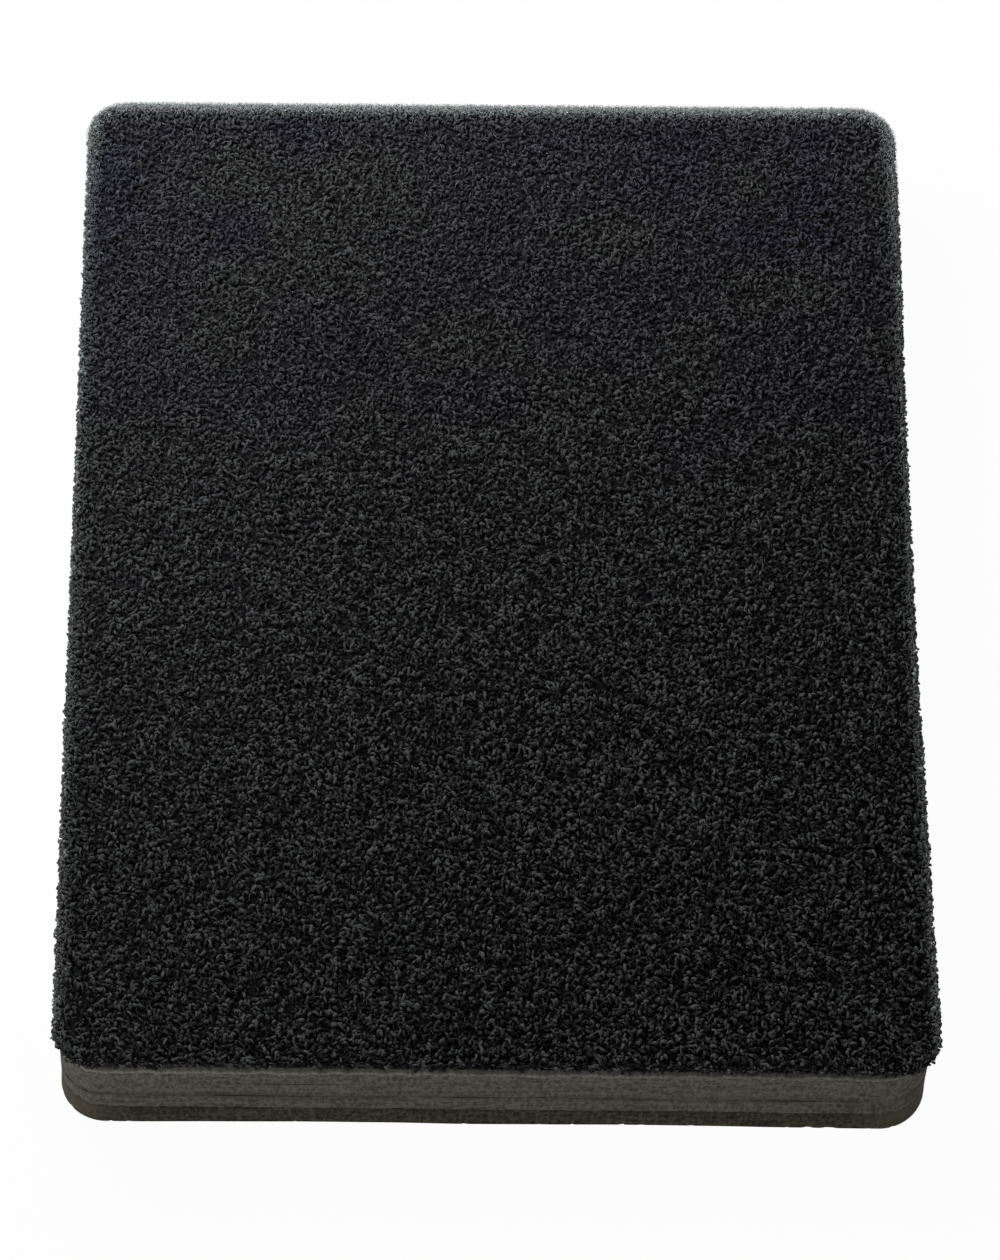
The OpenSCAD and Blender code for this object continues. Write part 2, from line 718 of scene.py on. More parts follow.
@dataclass(frozen=True)
class YarnFinish:
    """Dyed polyester yarn, from its deepest to its palest strands."""

    name: str
    deep: tuple[float, float, float]
    full: tuple[float, float, float]
    brightest: tuple[float, float, float]
    warm: tuple[float, float, float] = (255, 255, 252)
    cool: tuple[float, float, float] = (226, 222, 255)
    sheen: float = 0.0
    sheen_roughness: float = 0.45
    gloss: float = 0.3
    roughness: float = 0.62

    def material(self) -> bpy.types.Material:
        """Builds the finish.

        Returns:
            The material.
        """
        material, graph, shader = new_material(self.name)
        tone, tint = (
            graph.add("Attribute", attribute_name=name).outputs["Fac"] for name in ("tone", "tint")
        )
        yarn = YarnShadeGroup().place(
            graph,
            Tone=tone,
            Tint=tint,
            Deep=rgb(*self.deep),
            Full=rgb(*self.full),
            Worn=rgb(*self.brightest),
            Warm=rgb(*self.warm),
            Cool=rgb(*self.cool),
        )
        graph.feed(shader, Base_Color=yarn["Colour"], Roughness=self.roughness)
        shader.inputs["Specular IOR Level"].default_value = self.gloss
        shader.inputs["Sheen Weight"].default_value = self.sheen
        shader.inputs["Sheen Roughness"].default_value = self.sheen_roughness
        return material


@dataclass(frozen=True)
class GlueFinish:
    """Hardened glue film, a little glossier than the foam round it."""

    name: str
    colour: tuple[float, float, float]
    ridge: tuple[float, float, float]
    blot_scale: float = 700.0

    def material(self) -> bpy.types.Material:
        """Builds the finish.

        Returns:
            The material.
        """
        material, graph, shader = new_material(self.name)
        place = graph.add("TexCoord").outputs["Object"]
        blots = graph.noise(graph.stretched(place, (1, 1, 3)), self.blot_scale, 3.0)
        colour = graph.mix(graph.span(blots, 0.35, 0.7), rgb(*self.colour), rgb(*self.ridge))
        rough = graph.span(blots, 0.3, 0.7, 0.45, 0.7)
        graph.feed(shader, Base_Color=colour, Roughness=rough)
        return material


# ---------------------------------------------------------------- foam block


@dataclass(frozen=True)
class KnifeMarks:
    """What the cutting die leaves on a wall, read from the distance round and the height."""

    around: float
    stack: float
    bow: float = 0.1 * MM
    wave: float = 0.05 * MM
    wave_cell: tuple[float, float] = (7 * MM, 2.5 * MM)
    streak: float = 0.006 * MM
    streak_cell: tuple[float, float] = (4 * MM, 0.17 * MM)
    pit: float = 0.1 * MM
    pit_cell: tuple[float, float] = (0.55 * MM, 0.4 * MM)
    pit_rarity: float = 0.62

    def hills(
        self, walked: np.ndarray, height: np.ndarray, cell: tuple[float, float], seed: int
    ) -> np.ndarray:
        """Random hills that meet themselves once round the block.

        Args:
            walked: distance round the block.
            height: height above the underside.
            cell: how long and how high a hill is.
            seed: which hills to read.

        Returns:
            Heights from -1 to 1.
        """
        cells = round(self.around / cell[0])
        return soft_noise(walked / self.around * cells, height / cell[1], seed, cells)

    def depth(self, walked: np.ndarray, height: np.ndarray, seed: int) -> np.ndarray:
        """How far the wall lies inside its outline.

        Args:
            walked: distance round the block.
            height: height above the underside.
            seed: which marks to draw.

        Returns:
            Depths in metres.
        """
        share = np.clip(height / self.stack, 0, 1)
        bowed = self.bow * 4 * share * (1 - share)
        waved = self.wave * self.hills(walked, height, self.wave_cell, seed)
        drawn = self.streak * self.hills(walked, height, self.streak_cell, seed + 1)
        spots = self.hills(walked, height, self.pit_cell, seed + 2)
        pitted = self.pit * np.clip((spots - self.pit_rarity) / (1 - self.pit_rarity), 0, 1)
        return bowed + waved + drawn + pitted


@dataclass(frozen=True)
class Nick:
    """A dent, or with a depth below zero a raised lip, on the wall at the near end."""

    across: float
    height: float
    half_length: float
    half_height: float
    depth: float

    def depth_at(self, places: np.ndarray, height: np.ndarray) -> np.ndarray:
        """How far in it pushes the wall.

        Args:
            places: places round the block, seen from above.
            height: the height of each row of points.

        Returns:
            A depth for each row and each place.
        """
        near = np.where(places[:, 1] < 0, 1.0, 0.0)
        along = (places[:, 0] - self.across) / self.half_length
        upward = (height - self.height) / self.half_height
        return self.depth * near * np.exp(-(along**4)) * np.exp(-(upward**2))


@dataclass(frozen=True)
class FoamSheet:
    """One die-cut sheet of the block, from its lower face to its upper face."""

    node: str
    slot: Slot
    outline: Outline
    low: float
    high: float
    marks: KnifeMarks
    die: DieCut
    seed: int
    step: float = 0.21 * MM
    row: float = 0.13 * MM
    arris: float = 0.012 * MM
    arris_rows: int = 4
    cap_margin: float = 1.2 * MM
    lip: float = 0.02 * MM
    lip_run: float = 0.17 * MM
    # Darkening near the sheet's faces: glue stains on the grey sheets, painted shadow under the
    # grey foam's edge on the base sheet.
    stain_and_shadow_reach: float = 0.45 * MM
    stain_and_shadow_below: float = 0.3
    stain_and_shadow_above: float = 0.3
    # Painted light: how much lighter the sheet is near its corners, and how far that runs.
    corner_light: float = 0.0
    corner_light_run: float = 5.0 * MM
    corner_light_hold: float = 1.4
    nicks: tuple[Nick, ...] = (
        Nick(33.0 * MM, 8.3 * MM, 2.8 * MM, 0.16 * MM, -0.06 * MM),
        Nick(31.7 * MM, 6.4 * MM, 0.4 * MM, 0.22 * MM, 0.25 * MM),
        Nick(29.6 * MM, 4.3 * MM, 0.5 * MM, 0.22 * MM, 0.25 * MM),
        Nick(-24.5 * MM, 5.6 * MM, 1.1 * MM, 0.14 * MM, 0.15 * MM),
    )

    def profile(self) -> tuple[np.ndarray, np.ndarray]:
        """Draws the wall's section, with small lips that close over the glue films.

        Returns:
            How far in each row of points is, and how high.
        """
        bend = np.linspace(0, pi / 2, self.arris_rows)
        inset = self.arris * (1 - np.sin(bend))
        rise = self.arris * (1 - np.cos(bend))
        rows = max(3, round((self.high - self.low) / self.row))
        straight = np.linspace(self.low + self.arris, self.high - self.arris, rows)[1:-1]
        inner = [self.cap_margin, self.lip_run + 0.02 * MM, self.lip_run]
        under = self.lip if self.low > 0 else 0.0
        low, high = self.low - under, self.high + self.lip
        insets = [inner, inset, 0 * straight, inset[::-1], inner[::-1]]
        feet, heads = [self.low, self.low, low], [high, self.high, self.high]
        heights = [feet, low + rise, straight, high - rise[::-1], heads]
        return np.concatenate(insets), np.concatenate(heights)

    def build(self, finish: bpy.types.Material) -> bpy.types.Object:
        """Builds the sheet as one closed mesh.

        Args:
            finish: its material.

        Returns:
            The piece, in place of its CAD node.
        """
        places, outwards, walked = self.outline.walk(self.outline.counts(self.step))
        insets, heights = self.profile()
        columns, rows = len(places), len(insets)
        distance, height = np.broadcast_arrays(walked[None], heights[:, None])
        depth = self.marks.depth(distance, height, self.seed)
        for nick in self.nicks:
            depth = depth + nick.depth_at(places, height)
        inwards = (insets[:, None] + depth)[..., None] * outwards[None]
        flat = places[None] - inwards
        points = np.concatenate([flat, height[..., None]], axis=2).reshape(-1, 3)
        band, caps = strip_quads(columns, rows), end_caps(columns, rows)
        piece = make_piece(self.node + "_cut", self.die.settle(points), band, caps)
        turn = distance.ravel() / self.marks.around * 2 * pi
        drum = self.marks.around / (2 * pi) - insets.repeat(columns)
        unrolled = np.stack([drum * np.cos(turn), drum * np.sin(turn), height.ravel()], axis=1)
        mark(piece, "wall", unrolled)
        # Darkening near the sheet's faces: glue stains on the grey sheets, painted shadow under the
        # grey foam's edge on the base sheet.
        above = self.stain_and_shadow_above * np.exp((height - self.high) / self.stain_and_shadow_reach)
        below = self.stain_and_shadow_below * np.exp((self.low - height) / self.stain_and_shadow_reach)
        mark(piece, "seam", np.clip(above + below, 0, 1).ravel())
        # Painted light: the sheet lighter near its corners, where light reaches under the foam's
        # edge.
        half = np.array([self.outline.width, self.outline.length]) / 2
        from_corner = (half - np.abs(places)).sum(axis=1)
        corner_lit = self.corner_light * np.clip(self.corner_light_hold - from_corner / self.corner_light_run, 0, 1)
        mark(piece, "corner_lit", np.tile(corner_lit, rows))
        return install(piece, self.node, finish)


@dataclass(frozen=True)
class FoamBlock:
    """The stack of foam sheets and the glue films between them."""

    die: DieCut
    corner: float = 4.0 * MM
    base_draw_in: float = 0.05 * MM
    base_flush_run: float = 3.0 * MM
    greys: tuple[str, ...] = ("foam_sheet_1", "foam_sheet_2", "foam_sheet_3")
    films: tuple[str, ...] = ("bond_film_1", "bond_film_2", "bond_film_3")
    stains: tuple[tuple[float, float], ...] = ((0.2, 0.95), (0.95, 0.3), (0.3, 0.0))
    grey: FoamFinish = FoamFinish(
        "grey_foam", (97, 94, 87), (68, 64, 56), (117, 114, 106), streaks=0.4, pits=0.6
    )
    dark: FoamFinish = FoamFinish(
        "base_foam", (65, 60, 50), (25, 22, 16), (98, 92, 79), streaks=0.3, pits=0.9
    )
    glue: GlueFinish = GlueFinish("glue_film", (30, 28, 24), (44, 42, 37))
    face_glue: GlueFinish = GlueFinish("face_glue", (70, 67, 60), (104, 101, 94))
    # Painted shadow: the base sheet darker below the grey foam's edge, and how far down it reaches.
    base_lip_shadow_reach: float = 1.3 * MM
    base_lip_shadow: float = 0.7
    # Painted light at the base sheet's corners.
    base_corner_light: float = 0.6
    base_seed: int = 40
    grey_seeds: tuple[int, ...] = (0, 10, 20)

    def outline(self) -> Outline:
        """The grey sheets' outline, from the frame."""
        low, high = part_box(self.greys[0])
        return Outline(high.x - low.x, high.y - low.y, self.corner)

    def build(self) -> None:
        """Builds every sheet and dresses the films."""
        outline = self.outline()
        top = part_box(self.greys[-1])[1].z
        marks = KnifeMarks(outline.around(), top)
        base = replace(outline, draw_in=self.base_draw_in, flush_run=self.base_flush_run)
        low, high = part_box("base_sheet")
        bottom = FoamSheet(
            "base_sheet",
            Slot.BASE_FOAM,
            base,
            low.z,
            high.z,
            marks,
            self.die,
            self.base_seed,
            stain_and_shadow_reach=self.base_lip_shadow_reach,
            stain_and_shadow_above=self.base_lip_shadow,
            stain_and_shadow_below=0.0,
            corner_light=self.base_corner_light,
        )
        bottom.build(self.dark.material())
        finish = self.grey.material()
        for node, seed, (below, above) in zip(self.greys, self.grey_seeds, self.stains):
            low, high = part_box(node)
            sheet = FoamSheet(
                node, Slot.GREY_FOAM, outline, low.z, high.z, marks, self.die, seed
            )
            replace(sheet, stain_and_shadow_below=below, stain_and_shadow_above=above).build(finish)
        finish = self.glue.material()
        for node in self.films:
            self.dress(node, finish)
        self.dress("face_film", self.face_glue.material())

    def dress(self, node: str, finish: bpy.types.Material) -> None:
        """Gives a CAD node that keeps its shape a better finish.

        Args:
            node: the CAD node.
            finish: its new material.
        """
        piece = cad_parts[node]
        piece.data.materials.clear()
        piece.data.materials.append(finish)
        log.info("%s: keeps its shape, with the finish %s", node, finish.name)


# ---------------------------------------------------------------- wiping fabric


@dataclass(frozen=True)
class GroundCloth:
    """The knitted ground of the fabric, whose cut edge shows under the pile."""

    outline: Outline
    low: float
    high: float
    die: DieCut
    proud: float = 0.22 * MM
    wale: float = 0.42 * MM
    wale_depth: float = 0.07 * MM
    ragged: float = 0.1 * MM
    ragged_share: float = 0.7
    bulge: float = 0.8
    cap_margin: float = 1.5 * MM
    tone: float = 0.45
    # Painted light: how much lighter the cloth's edge is on the left.
    painted_light_slope: float = 0.5
    tone_scatter: float = 0.3
    tint_cells: int = 40
    step: float = 0.09 * MM
    rows: int = 6

    def build(self, finish: bpy.types.Material) -> bpy.types.Object:
        """Builds the cloth with its scalloped cut edge.

        Args:
            finish: its material.

        Returns:
            The piece, in place of its CAD node.
        """
        places, outwards, walked = self.outline.walk(self.outline.counts(self.step))
        around = self.outline.around()
        bend = np.linspace(-pi / 2, pi / 2, self.rows)
        half = (self.high - self.low) / 2
        wales = round(around / self.wale)
        turn = walked / around
        scallop = self.wale_depth * (0.5 - 0.5 * np.cos(2 * pi * turn * wales))
        frays = wales * self.ragged_share
        ragged = self.ragged * soft_noise(turn * frays, 0 * turn, Seed.CLOTH_EDGE, round(frays))
        reach = self.proud - scallop + ragged
        bulge = half * self.bulge * (np.cos(bend)[:, None] - 1)
        out = reach[None] + bulge
        margin = np.full((1, len(places)), -self.cap_margin)
        out = np.concatenate([margin, out, margin])
        lift = np.concatenate([[-1], np.sin(bend), [1]]) * half + (self.low + self.high) / 2
        flat = places[None] + out[..., None] * outwards[None]
        height = np.repeat(lift[:, None], len(places), axis=1)[..., None]
        points = self.die.settle(np.concatenate([flat, height], axis=2).reshape(-1, 3))
        columns, rows = len(places), len(out)
        band, caps = strip_quads(columns, rows), end_caps(columns, rows)
        piece = make_piece("ground_cloth_knit", points, band, caps)
        # Painted light: the cloth's edge lighter on the left, towards the key lamp.
        tone = self.tone - self.painted_light_slope * places[:, 0] / self.outline.width
        cells = wales * 2
        tone = tone + self.tone_scatter * soft_noise(turn * cells, 0 * turn, Seed.CLOTH_TONE, cells)
        cells = self.tint_cells
        tint = 0.5 + 0.5 * soft_noise(turn * cells, 0 * turn, Seed.CLOTH_TINT, cells)
        mark(piece, "tone", np.tile(tone, rows))
        mark(piece, "tint", np.tile(tint, rows))
        return install(piece, "ground_cloth", finish)


@dataclass(frozen=True)
class PileFace:
    """The reference surface of the pile: flat on top, with a full round rim."""

    outline: Outline
    rim: float
    top: float
    die: DieCut

    def bend_start(self) -> tuple[np.ndarray, float]:
        """Where the rim starts to bend: its corners' centre in one quarter, and their radius."""
        start = self.outline.shrunk(self.rim)
        return np.array([start.width, start.length]) / 2 - start.corner, start.corner

    def wrap(self, points: np.ndarray) -> np.ndarray:
        """Bends points of a flat carpet down over the rim.

        Args:
            points: places on the flat carpet, with z as the height above its surface.

        Returns:
            Places on the eraser.
        """
        centre, radius = self.bend_start()
        past = np.abs(points[:, :2]) - centre
        over = np.clip(past, 0, None)
        reach = np.maximum(np.linalg.norm(over, axis=1), 1e-9)
        beyond = np.where((past > 0).any(axis=1), reach, 0) - radius
        out = over / reach[:, None] * np.sign(points[:, :2])
        spill = np.clip(beyond, 0, None)
        angle = spill / self.rim
        arm = self.rim + points[:, 2]
        flat = points[:, :2] + out * (arm * np.sin(angle) - spill)[:, None]
        height = self.top - self.rim + arm * np.cos(angle)
        return self.die.settle(np.concatenate([flat, height[:, None]], axis=1))

    def past_edge(self, places: np.ndarray) -> np.ndarray:
        """Measures how far past the start of the rim places lie.

        Args:
            places: places on the flat carpet.

        Returns:
            Distances over the surface, below zero on the flat of the face.
        """
        centre, radius = self.bend_start()
        past = np.abs(places) - centre
        outside = np.linalg.norm(np.clip(past, 0, None), axis=1)
        return outside + np.minimum(past.max(axis=1), 0) - radius


@dataclass(frozen=True)
class StrandBatch:
    """Many short strands on the flat carpet, each a row of rings."""

    centres: np.ndarray
    headings: np.ndarray
    radii: np.ndarray
    tones: np.ndarray
    tints: np.ndarray
    map_edge: float = 0.02
    map_spread: float = 0.004

    def build(self, name: str, face: PileFace, finish: bpy.types.Material) -> bpy.types.Object:
        """Makes the strands as four-sided tubes, bent over the rim.

        Args:
            name: the piece's name.
            face: the surface that they stand on.
            finish: their material.

        Returns:
            The piece, in place of the CAD pile.
        """
        count, rings, _ = self.centres.shape
        along = np.gradient(self.centres, axis=1)
        along /= np.linalg.norm(along, axis=2, keepdims=True)
        side = np.stack(
            [-np.sin(self.headings), np.cos(self.headings), 0 * self.headings], axis=2
        )
        upper = np.cross(along, side)
        corner = pi / 4 + np.arange(4) * pi / 2
        rim = (
            np.cos(corner)[:, None] * side[:, :, None]
            + np.sin(corner)[:, None] * upper[:, :, None]
        )
        points = self.centres[:, :, None] + rim * self.radii[:, :, None, None]
        points = face.wrap(points.reshape(-1, 3))
        first = np.arange(4)
        second = (first + 1) % 4
        band = np.stack([first, second, second + 4, first + 4], axis=1)
        tube = (band[None] + 4 * np.arange(rings - 1)[:, None, None]).reshape(-1, 4)
        ends = np.array([[3, 2, 1, 0], [0, 1, 2, 3]]) + [[0], [4 * (rings - 1)]]
        tube = np.concatenate([tube, ends])
        quads = (tube[None] + 4 * rings * np.arange(count)[:, None, None]).reshape(-1, 4)
        piece = make_piece(name, points, quads)
        mark(piece, "tone", self.tones.ravel().repeat(4))
        mark(piece, "tint", self.tints.repeat(4 * rings))
        self.lay_out(piece, rings)
        return install(piece, "pile", finish)

    def lay_out(self, piece: bpy.types.Object, rings: int) -> None:
        """Gives the strands a map on which each lies at its own tone and tint.

        Args:
            piece: the strands.
            rings: how many rings each strand has.
        """
        ring = np.arange(rings).repeat(4) / (rings - 1) - 0.5
        corner = np.tile(np.arange(4), rings) / 3 - 0.5
        room = 1 - 2 * self.map_edge
        tones, tints = (
            self.map_edge + room * (v - v.min()) / max(np.ptp(v), 1e-6)
            for v in (self.tones, self.tints)
        )
        across = tones.repeat(4, axis=1) + self.map_spread * ring
        up = tints[:, None] + self.map_spread * corner
        each = np.stack([across, up], axis=2).reshape(-1, 2)
        loops = np.empty(len(piece.data.loops), np.int32)
        piece.data.loops.foreach_get("vertex_index", loops)
        layer = piece.data.uv_layers.new(name="OFBake")
        layer.uv.foreach_set("vector", each[loops].astype(np.float32).ravel())


@dataclass(frozen=True)
class Curl:
    """The shape of one curled loop. A pair of values is a range that loops differ within."""

    rings: int = 5
    length: tuple[float, float] = (0.35 * MM, 0.95 * MM)
    bend: float = 1.35
    ripple: float = 0.6
    ripple_rate: float = 2.6
    yarn: float = 0.135 * MM
    yarn_share: tuple[float, float] = (0.7, 1.3)
    lump_share: tuple[float, float] = (0.72, 1.22)
    taper: float = 0.3
    spread: float = 0.62 * MM
    # The shares of depth and of dip that loops keep under the painted rim light.
    rim_spread: float = 0.15
    drop: tuple[float, float] = (0.2 * MM, 0.6 * MM)
    rim_drop: float = 0.5
    lean: float = 0.12 * MM
    jitter: float = 0.03 * MM
    deepest: float = 1.05 * MM

    def run(self) -> np.ndarray:
        """How far along a loop each ring is, from -1 to 1."""
        return np.linspace(-1, 1, self.rings)[None]

    def trace(
        self, places: np.ndarray, rng: np.random.Generator
    ) -> tuple[np.ndarray, np.ndarray]:
        """Traces each loop's path on the flat carpet.

        Args:
            places: the loops' middles.
            rng: the random numbers to draw from.

        Returns:
            The rings' places, and the path's heading at each.
        """
        one_each, run = (len(places), 1), self.run()
        length = rng.uniform(*self.length, one_each)
        heading = rng.uniform(0, 2 * pi, one_each)
        bend = rng.normal(0, self.bend, one_each)
        ripple = rng.normal(0, self.ripple, one_each)
        phase = rng.uniform(0, 2 * pi, one_each)
        headings = heading + bend * run + ripple * np.sin(self.ripple_rate * run + phase)
        step = length / (self.rings - 1)
        flat = np.stack([np.cos(headings), np.sin(headings)], axis=2) * step[..., None]
        flat = np.cumsum(flat, axis=1)
        return flat + (places - flat.mean(axis=1))[:, None], headings

    def lift(
        self, clump: np.ndarray, rim_light: np.ndarray, rng: np.random.Generator
    ) -> tuple[np.ndarray, np.ndarray, np.ndarray]:
        """Sets the rings' heights and radii.

        Args:
            clump: how far each loop's clump stands up, from -1 to 1.
            rim_light: how much painted rim light each loop takes, from 0 to 1; such loops lie
                higher and dip less at their ends.
            rng: the random numbers to draw from.

        Returns:
            How low each loop lies, from 0 to 1.2, and its rings' heights and radii.
        """
        one_each, run = rim_light.shape, self.run()
        each_ring = (len(rim_light), self.rings)
        thick = self.yarn * rng.uniform(*self.yarn_share, one_each)
        low = np.clip(rng.beta(1.4, 1.6, one_each) - 0.4 * clump, 0, 1.2)
        crest = -thick - low * self.spread * (1 - (1 - self.rim_spread) * rim_light)
        drop = rng.uniform(*self.drop, one_each) * (1 - (1 - self.rim_drop) * rim_light)
        lean = rng.normal(0, self.lean, one_each)
        height = crest - drop * np.abs(run) ** 2.4 + lean * run
        height = np.maximum(height, -self.deepest)
        lumps = rng.uniform(*self.lump_share, each_ring)
        height = height + rng.normal(0, self.jitter, each_ring)
        return low, height, thick * (1 - self.taper * np.abs(run) ** 3) * lumps


@dataclass(frozen=True)
class Fibre:
    """The shape of one short fibre. A pair of values is a range that fibres differ within."""

    rings: int = 3
    reach: tuple[float, float] = (0.15 * MM, 0.5 * MM)
    rise: tuple[float, float] = (0.3 * MM, 0.6 * MM)
    curl: float = 1.2
    root: float = 0.65 * MM
    far_lift: float = 0.3 * MM
    radius: float = 0.022 * MM
    radius_share: tuple[float, float] = (0.8, 1.4)
    taper: float = 0.6


@dataclass(frozen=True)
class LoopPile:
    """The curly loops of the wiping face and the short fuzz round its rim."""

    face: PileFace
    curl: Curl = Curl()
    fibre: Fibre = Fibre()
    # The loops' brightest colour serves a few random pale strands and the painted rim light.
    loops: YarnFinish = YarnFinish(
        "loop_yarn", (8, 8, 8), (87, 88, 89), (163, 173, 171), gloss=0.05
    )
    # Painted shade: the roots are coloured darker than the loops' own yarn, for the shade deep in
    # the pile.
    roots: YarnFinish = YarnFinish(
        "loop_roots", (2, 2, 2), (44, 44, 46), (96, 104, 102), gloss=0.02
    )
    # Painted rim light: the fuzz's pale colours stand for the rims catching the light.
    pale: YarnFinish = YarnFinish(
        "fuzz_yarn", (84, 93, 90), (192, 202, 199), (215, 220, 218), sheen=0.3
    )
    pitch: float = 0.335 * MM
    wrap_angle: float = 2.3
    patch_columns: int = 4
    patch_rows: int = 5
    clump: float = 0.36 * MM
    speck: float = 0.26 * MM
    cloud: float = 6.0 * MM
    # Painted shade: how much darker sunken clumps and lower loops are, and raised clumps lighter.
    clump_shade: float = 0.24
    depth_shade: float = 0.3
    speck_tone: float = 0.9
    # Painted light: how far the tones lift towards the far end and the left.
    painted_light_tone: float = 0.36
    bright_share: float = 0.02
    # Painted rim light, down to the tint: the width of its pale band in from the side rims, its
    # strength on the sides and along the far rim, the bare near end, the turn where it fades under
    # the rim, and how much tint it keeps.
    rim_light_run: float = 0.9 * MM
    side_rim_light: float = 0.84
    far_run: float = 2.3 * MM
    near_bare: float = 1.5 * MM
    near_ramp: float = 2.0 * MM
    pale_turn: float = 1.8
    under_rim_light: float = 0.3
    rim_light_tint: float = 0.2
    fuzz_pitch: float = 0.13 * MM
    fuzz_piece: int = 9000
    near_fuzz: float = 0.1
    under_fuzz: float = 0.12
    stray_pitch: float = 1.3 * MM
    bed_depth: float = 0.48 * MM
    bed_step: float = 0.5 * MM
    bed_rim_loss: float = 0.1 * MM
    bed_squash: float = 0.62
    bed_lump: float = 0.45 * MM
    bed_lift: float = 0.13 * MM

    def scatter(self, pitch: float, seed: int) -> np.ndarray:
        """Scatters places over the flat carpet, one jittered within each cell of a grid.

        Args:
            pitch: the side of a cell.
            seed: which places to draw.

        Returns:
            The places that lie on the face or on its rim.
        """
        rng = np.random.default_rng(seed)
        outline = self.face.outline
        reach = self.face.rim * (self.wrap_angle - 1)
        half = np.array([outline.width / 2 + reach, outline.length / 2 + reach])
        cells = np.ceil(2 * half / pitch).astype(int)
        grid = np.stack(np.meshgrid(*[np.arange(n) + 0.5 for n in cells], indexing="ij"), axis=2)
        places = grid.reshape(-1, 2) * pitch - cells * pitch / 2
        places = places + rng.uniform(-0.5, 0.5, places.shape) * pitch
        return places[self.face.past_edge(places) < self.face.rim * self.wrap_angle]

    def farness(self, places: np.ndarray) -> np.ndarray:
        """How far along the eraser places lie, from 0 at its near end to 1 at its far end."""
        return np.clip(places[:, 1] / self.face.outline.length + 0.5, 0, 1)

    def leftness(self, places: np.ndarray) -> np.ndarray:
        """How far left places lie, from 0 on the right to 1 on the left."""
        return np.clip(0.5 - places[:, 0] / self.face.outline.width, 0, 1)

    def painted_light_share(self, places: np.ndarray) -> np.ndarray:
        """How much painted light lifts the yarn's colour, from 0 at the near right corner to 1 at
        the far end, rising also towards the left.
        """
        return np.clip(0.95 * self.farness(places) ** 1.6 + 0.4 * self.leftness(places) ** 2, 0, 1)

    def upper(self, places: np.ndarray) -> np.ndarray:
        """How much light reaches places, for the painted shade under the rim and the thinner fuzz
        there: 1 on top, falling to 0 under the rim.
        """
        return np.clip(2 * (self.pale_turn - self.face.past_edge(places) / self.face.rim), 0, 1)

    def rim_light(self, places: np.ndarray) -> np.ndarray:
        """How much painted rim light pales the nap, where the far and side rims catch the light.

        Args:
            places: places on the flat carpet.

        Returns:
            Shares, up to 1 along the far rim, less along the sides and 0 along the near rim.
        """
        run = self.rim_light_run * (0.45 + 0.65 * self.leftness(places))
        side = np.clip((self.face.past_edge(places) + run) / (run + 0.1 * MM), 0, 1) ** 1.5
        from_near = places[:, 1] + self.face.outline.length / 2
        side = self.side_rim_light * side * np.clip((from_near - self.near_bare) / self.near_ramp, 0, 1)
        to_far = self.face.outline.length / 2 - places[:, 1] - self.face.rim
        far = np.clip(1 - to_far / self.far_run, 0, 1) ** 1.25
        # Painted shade: less of the rim light under the rim, where less light falls.
        under = self.under_rim_light + (1 - self.under_rim_light) * self.upper(places)
        return np.maximum(side, far) * under

    def curls(self, places: np.ndarray, rng: np.random.Generator) -> StrandBatch:
        """Shapes and shades one curled loop at each place.

        Args:
            places: the loops' middles on the flat carpet.
            rng: the random numbers to draw from.

        Returns:
            The loops.
        """
        flat, headings = self.curl.trace(places, rng)
        across, up = places.T
        clump = soft_noise(across / self.clump, up / self.clump, Seed.CLUMP)[:, None]
        rim_light = self.rim_light(places)[:, None]
        low, height, radii = self.curl.lift(clump, rim_light, rng)
        one_each, each_ring = rim_light.shape, height.shape
        tone = 0.1 + 0.85 * rng.beta(1.1, 2.6, one_each)
        # Painted shade: loops in sunken clumps and lower loops darker, raised clumps lighter.
        tone = tone + self.clump_shade * clump - self.depth_shade * (low - 0.4)
        bright = rng.random(one_each) > 1 - self.bright_share
        tone = np.where(bright, 1.0, np.clip(tone, 0.04, FULL_DYE))
        speck = soft_noise(flat[..., 0] / self.speck, flat[..., 1] / self.speck, Seed.SPECK)
        patchy = rng.uniform(0.8, 1.0, each_ring) + self.speck_tone * speck
        # Painted shade: each loop darker towards its ends, where it dives into the pile.
        tones = np.clip(tone * (1 - 0.5 * np.abs(self.curl.run()) ** 3) * patchy, 0, FULL_DYE)
        # Painted light: tones lift towards the far end and the left, where the key lamp lights the
        # pile.
        tones = tones + self.painted_light_tone * self.painted_light_share(places)[:, None] * (FULL_DYE - tones)
        # Painted rim light: loops on the lit rims turn to the brightest colour.
        tones = tones * (1 - rim_light) + rim_light * (0.96 + 0.04 * rng.random(one_each))
        cloud = soft_noise(across / self.cloud, up / self.cloud, Seed.CLOUD)
        far = np.clip(up / self.face.outline.length * 3.2 - 0.2, 0, 1)
        tints = 0.1 + far * (0.35 + 0.9 * cloud) + rng.normal(0, 0.06, len(places))
        # Loops under the painted rim light lose most of their tint.
        tints = np.clip(tints, 0, 1) * (1 - (1 - self.rim_light_tint) * rim_light[:, 0])
        centres = np.concatenate([flat, height[..., None]], axis=2)
        return StrandBatch(centres, headings, radii, tones, tints)

